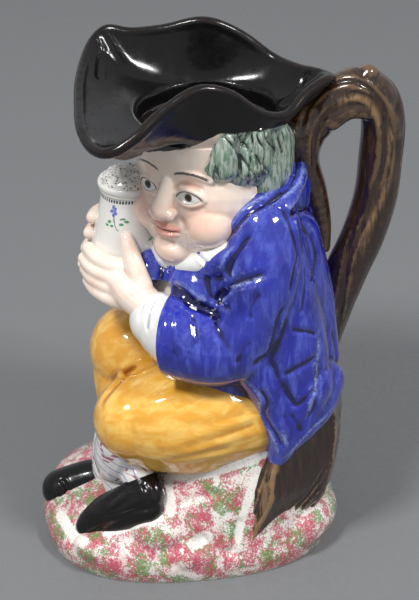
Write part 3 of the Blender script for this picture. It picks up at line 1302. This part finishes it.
ground = {
    "grain": 1.15, "soften": 4,
    "pairs": (((52, -8, 12, 7), (50, 8, 13, 7)), ((40, 38, 8, 10), (36, 49, 13, 12), (24, 60, 13, 11), (6, 64, 10, 9))),
    "balls": (((34, -40, 12), (16, 20, 9)), ((42, -16, 20), (12, 18, 13)), ((-6, -54, 6), (18, 14, 6)),
              ((10, -34, 16), (22, 18, 14)), ((-34, -36, 12), (16, 18, 8)), ((-40, -12, 22), (13, 18, 13)),
              ((-2, -18, 50), (19, 15, 38))),
    "folds": (
        (((190, 545), (199, 541), (208, 536)), 3.4, 1.7, 0.25),
        (((150, 556), (176, 546), (196, 522)), 2.6, 0.9, 0.2),
        (((228, 560), (236, 540), (240, 516)), 2.4, 1.0, 0.2),
        (((100, 560), (122, 545), (140, 538)), 2.2, 0.8, 0.2),
        (((176, 505), (196, 498), (224, 492)), 2.2, 0.9, 0.2),
        (((196, 560), (220, 552), (246, 556)), 2.0, 0.7, 0.2),
        (((70, 540), (84, 530), (96, 540)), 2.0, 0.7, 0.2),
    ),
    # Places left white: beside the heel, the strip by the stump, the dimple, under the breeches
    "bare": (
        (((168, 478), (170, 496), (171, 512)), 2.8),
        (((258, 470), (252, 488), (247, 504), (241, 522), (238, 538)), 2.3),
        (((193, 544), (199, 541), (206, 536)), 3.6),
        (((170, 476), (205, 474), (245, 462), (272, 450)), 2.6),
        (((60, 514), (72, 534), (84, 542)), 3.0),
        (((106, 534), (134, 526), (160, 518)), 2.0),
    ),
    "white": (0.86, 0.84, 0.79), "rose": (0.46, 0.035, 0.085), "green": (0.09, 0.25, 0.045),
    "cream": (0.82, 0.77, 0.71), "haze": (0.80, 0.50, 0.48), "crimson": (0.50, 0.04, 0.09),
    "edge": (0.40, 0.46, 0.34),
}


def spongedGlaze():
    f = Finish("sponged glaze", 0.1, 0.8)
    bare = f.read("bare")

    def dabs(area, grain, low, high, shift):
        # Stipple of the sponge, thick in its dabs and thin between them
        moved = f.vector("ADD", f.place, (shift, shift * 0.7, -shift))
        dab = f.span(f.noise(area, 3, 0.6, moved, 0.5), low, high)
        dab = f.sum("MULTIPLY", dab, f.span(bare, 0.75, 0.2))
        stipple = f.noise(grain, 3, 0.85, moved)
        return f.span(f.sum("MULTIPLY_ADD", dab, 0.215, stipple), 0.60, 0.68)

    white = f.mix(f.span(f.noise(12, 3), 0.35, 0.75), ground["white"], ground["cream"])
    haze = f.sum("MULTIPLY", f.span(f.noise(9, 3), 0.38, 0.68, 0, 0.4), f.span(bare, 0.75, 0.2))
    colour = f.mix(haze, white, ground["haze"])
    colour = f.mix(f.sum("MULTIPLY", dabs(11, 1.0, 0.36, 0.62, 0.11), 0.85), colour, ground["rose"])
    colour = f.mix(f.sum("MULTIPLY", dabs(9, 0.95, 0.42, 0.62, 0.37), 0.85), colour, ground["green"])
    colour = f.mix(f.sum("MULTIPLY", dabs(7, 0.95, 0.44, 0.64, 0.71), 0.75), colour, ground["crimson"])
    foot = f.sum("MULTIPLY_ADD", f.noise(5, 3), 2.4 * unit, f.split(f.place)[2])
    colour = f.mix(f.span(foot, 2.6 * unit, 1.6 * unit, 0, 0.6), colour, ground["edge"])
    return f.finish(colour, ripple=0.5)


def makeGround():
    clay = Clay()
    coreLoft(clay, core["sections"][0][0], 64, 30)
    clay.limbs(ground["pairs"], (1, -1))
    for centre, radii in ground["balls"]:
        clay.ball(centre, radii)
    made = clay.cast("ground", ground["grain"], ground["soften"])
    cutAway(made, roomInside)
    trim(made, block((-200, -200, -60), (200, 200, 0)))
    carve(made, ground["folds"])
    markRelief(made)
    bare = np.zeros(len(made.data.vertices))
    skin, normals = Skin(made), coordinates(made.data, "normal")
    for line, halfWidth in ground["bare"]:
        near, _ = closeness(skin.places, normals, skin.trace(line), halfWidth * unit * 3)
        bare = np.maximum(bare, np.exp(-(near / (halfWidth * unit)) ** 2))
    keep(made, "bare", bare)
    dress(made, spongedGlaze())


makeGround()


stump = {
    "grain": 0.95, "soften": 2,
    # Corners on the figure's left from the front edge to the middle of the back, at each height
    "corners": (
        (5, ((38, 8), (53, 20), (54, 22), (34, 42), (14, 54))),
        (11, ((38, 8), (53, 21), (54, 23.5), (36, 46), (14, 56))),
        (20, ((38, 8), (52, 22.5), (53.4, 24.5), (36, 56), (15, 64))),
        (30, ((38, 10), (51, 24.5), (52.8, 29.5), (36.5, 62), (16, 70))),
        (40, ((38, 14), (51, 27), (53.2, 33.5), (37, 64), (16, 72))),
        (46, ((37, 18), (50.8, 28.5), (52.8, 33.8), (37, 65.5), (16, 73))),
        (58, ((35, 26), (49.6, 33.2), (51.2, 35.8), (36.5, 66.5), (15.5, 73.5))),
        (66, ((34, 28), (48.5, 35), (50.5, 37), (36, 67), (15, 74))),
        (90, ((34, 28), (45, 37), (46, 39), (32, 66), (14, 72))),
    ),
    "folds": (
        (((275, 463), (272, 480), (271, 501), (262, 520), (251, 533)), 0.9, -0.7, 0),
        (((270, 470), (264, 488), (259, 506), (252, 526)), 0.9, 0.5, 0.3),
        (((324, 480), (312, 496), (300, 509), (288, 519), (275, 527)), 0.9, 0.7, 0.4),
        (((326, 466), (314, 486), (303, 500), (286, 514)), 0.8, 0.5, 0.4),
        (((318, 500), (306, 511), (292, 521), (278, 532)), 0.8, 0.6, 0.4),
        (((10, 76, 74), (9, 76, 44), (12, 72, 22)), 1.3, 1.0, 0.3),
        (((-12, 76, 74), (-9, 76, 44), (-12, 72, 22)), 1.3, 1.0, 0.3),
        (((24, 72, 72), (25, 72, 46), (26, 66, 20)), 1.2, 1.1, 0.4),
        (((-24, 72, 72), (-25, 72, 46), (-26, 66, 20)), 1.2, 1.1, 0.4),
        (((0, 78, 70), (2, 76, 44), (0, 72, 20)), 1.0, 0.8, 0.3),
        (((-52, 34, 62), (-53, 33, 40), (-50, 30, 16)), 1.2, -0.9, 0),
        (((-46, 48, 62), (-46, 48, 38), (-42, 44, 16)), 1.2, 0.9, 0.4),
        (((-39, 60, 62), (-39, 60, 38), (-36, 54, 16)), 1.2, 0.9, 0.4),
    ),
    # The narrow front facet, where the glaze has run thin
    "thin": (((274, 462), (267, 482), (264, 503), (257, 521), (247, 540)),
             ((-51, 31, 60), (-52, 29, 40), (-50, 24, 20))),
    "dark": (0.020, 0.009, 0.005), "brown": (0.065, 0.030, 0.014), "tan": (0.30, 0.18, 0.085),
}


def barkGlaze(name, worn):
    f = Finish(name, 0.1, 0.7)
    grain = f.noise(2.2, 4, 0.6, f.stretched((1, 1, 0.18)), 0.3)
    broad = f.noise(12, 3, 0.5)
    colour = f.mix(f.span(grain, 0.4, 0.7, 0, 0.8), stump["dark"], stump["brown"])
    colour = f.mix(f.span(broad, 0.35, 0.65, 0, 0.6), colour, stump["dark"])
    ridge = f.sum("MULTIPLY_ADD", f.noise(3, 4, 0.7), 0.9, f.read("grooves"))
    colour = f.mix(f.span(ridge, 0.30, 0.0, 0, worn), colour, stump["tan"])
    thin = f.sum("MULTIPLY", f.read("brushed"), f.span(grain, 0.35, 0.6))
    colour = f.mix(f.sum("MULTIPLY", thin, 0.8), colour, stump["tan"])
    return f.finish(colour, grain, ripple=0.5)


def makeStump():
    clay = Clay()
    rings = []
    for z, half in stump["corners"]:
        ring = [(x, y) for x, y in half] + [(-x, y) for x, y in reversed(half)]
        rings.append([(x * unit, y * unit, z * unit) for x, y in ring])
    clay.loft(rings)
    made = clay.cast("stump", stump["grain"], stump["soften"])
    cutAway(made, roomInside)
    carve(made, stump["folds"])
    markRelief(made)
    brushed(made, "brushed", stump["thin"], 2)
    dress(made, barkGlaze("stump glaze", 0.8))


makeStump()


handle = {
    "grain": 0.9, "soften": 3, "thickness": 10.25,  # half of the branch's thickness
    "branch": ((0, 59, 211, 0.9), (0, 68, 221.5, 0.9), (0, 78, 227, 0.95), (0, 87, 222, 1), (0, 91, 210, 1),
               (0, 90.5, 192, 1), (0, 89, 172, 1), (0, 84, 152, 1), (0, 77, 134, 1), (0, 70, 114, 1), (0, 65, 94, 0.9),
               (0, 61, 76, 0.9), (0, 58, 58, 1)),
    "fork": ((0, 60, 215, 0.85), (0, 54, 205, 1), (0, 54, 192, 0.8), (0, 60, 176, 0.6), (0, 64, 160, 0.45),
             (0, 66, 146, 0.25)),
    "knots": (
        ((1, 80, 226, 0.65), (2, 82, 232, 0.55), (2, 83, 234, 0.45)),
        ((6, 88, 224, 0.4), (8, 92, 216, 0.36), (7, 95, 206, 0.3)),
        ((6, 66, 214, 0.45), (7, 74, 219, 0.4), (6, 84, 217, 0.36)),
    ),
    "folds": (
        (((300, 140), (306, 112), (322, 92), (341, 82), (356, 82), (372, 92), (386, 112), (391, 140)), 1.1, 0.9, 0.3),
        (((334, 106), (350, 100), (364, 103), (374, 116), (378, 140), (375, 170), (366, 198)), 1.3, -0.7, 0),
        (((341, 98), (354, 93), (368, 96), (380, 110), (385, 140), (382, 168), (373, 196)), 0.9, 0.8, 0.3),
        (((332, 108), (320, 124), (314, 142), (314, 170)), 1.1, 0.9, 0.3),
        (((372, 208), (360, 232), (350, 256), (344, 290), (338, 330)), 1.0, 0.8, 0.3),
        (((356, 226), (348, 250), (341, 284), (336, 316)), 0.9, 0.6, 0.3),
        (((-8, 80, 220), (-8, 88, 208), (-8, 90, 180), (-8, 82, 150), (-8, 72, 120)), 1.1, 0.8, 0.3),
        (((-4, 96, 222), (-3, 101, 200), (-3, 98, 170), (-3, 90, 144), (-2, 80, 116), (-2, 74, 90)), 1.1, 0.8, 0.3),
        (((4, 96, 214), (4, 100, 190), (4, 97, 166), (4, 88, 140), (4, 78, 108)), 1.1, 0.8, 0.3),
        (((-8, 60, 216), (-9, 56, 204), (-7, 58, 186)), 1.1, 0.8, 0.3),
    ),
    # Where the glaze has run thin and shows tan
    "thin": (
        ((337, 106), (347, 99), (358, 98), (368, 103), (376, 115), (380, 132)),
        ((388, 118), (392, 146), (389, 176), (380, 204), (366, 232), (356, 262)),
        ((344, 68), (354, 64), (364, 66)),
        ((-10, 70, 224), (-10, 82, 224), (-10, 91, 206), (-10, 90, 176)),
        ((0, 101, 196), (0, 98, 168), (0, 88, 138)),
    ),
}


def makeHandle():
    clay = Clay()
    full = handle["thickness"]
    for line in (handle["branch"], handle["fork"]) + handle["knots"]:
        clay.limb([(x, y, z, share * full) for x, y, z, share in line])
    made = clay.cast("handle", handle["grain"], handle["soften"])
    cutAway(made, roomInside)
    carve(made, handle["folds"])
    markRelief(made)
    brushed(made, "brushed", handle["thin"], 1.5)
    dress(made, barkGlaze("branch glaze", 0.3))


makeHandle()


button = {
    "pixel": (173, 265), "radius": 3.1, "height": 1.5,
    # Shares of the radius and the height
    "profile": ((0.3, -1.2), (1.0, -1.2), (1.06, -0.2), (1.0, 0.5), (0.84, 0.8), (0.7, 0.5), (0.6, 0.5), (0.35, 0.75),
                (0.05, 0.85)),
}


def makeButton():
    hit, normal = Skin(bpy.data.objects["coat"]).underPixel(*button["pixel"])
    turn = normal.to_track_quat("Z", "Y")
    r, h = button["radius"] * unit, button["height"] * unit
    rings = []
    for across, up in button["profile"]:
        rings.append([hit + turn @ Vector((math.cos(a) * r * across, math.sin(a) * r * across, up * h))
                      for a in np.arange(48) * math.pi / 24])
    made = placeObject("button", meshFrom(closedBody(rings), "button"))
    for name in ("grooves", "brushed"):
        keep(made, name, np.zeros(len(made.data.vertices)))
    dress(made, cobaltGlaze())


makeButton()


room = {
    "floor": (0.175, 0.18, 0.185), "sky": (0.80, 0.82, 0.85), "skyStrength": 0.56,
    # Name, place, size in metres, power
    "lights": (("key", (0.75, -0.85, 1.75), (0.36, 0.36), 30), ("fill", (0.85, 0.85, 1.6), (0.32, 0.32), 20)),
}


def makeFloor():
    f = Finish("floor", 0.5, 0)
    colour = f.mix(f.noise(60, 2), room["floor"], tuple(c * 0.97 for c in room["floor"]))
    floor = placeObject("floor", meshFrom(block((-4000, -4000, -10), (4000, 4000, 0)), "floor"))
    floor.data.materials.append(f.finish(colour, ripple=0.05))


def makeLight(name, place, size, power):
    data = bpy.data.lights.new(name, "AREA")
    data.shape = "RECTANGLE"
    data.size, data.size_y = size
    data.energy = power
    made = bpy.data.objects.new(name, data)
    bpy.context.scene.collection.objects.link(made)
    made.location = place
    made.rotation_euler = (made.location - Vector((0, 0, 0.12))).to_track_quat("Z", "Y").to_euler()


def lightRoom():
    makeFloor()
    world = bpy.data.worlds.new("studio")
    bpy.context.scene.world = world
    world.use_nodes = True
    world.node_tree.nodes["Background"].inputs["Color"].default_value = (*room["sky"], 1)
    world.node_tree.nodes["Background"].inputs["Strength"].default_value = room["skyStrength"]
    for name, place, size, power in room["lights"]:
        makeLight(name, place, size, power)
    bpy.context.scene.view_settings.view_transform = "Standard"


lightRoom()
for cutter in (hollow, hatInside, roomInside):
    bpy.data.objects.remove(cutter)
print("studio set")
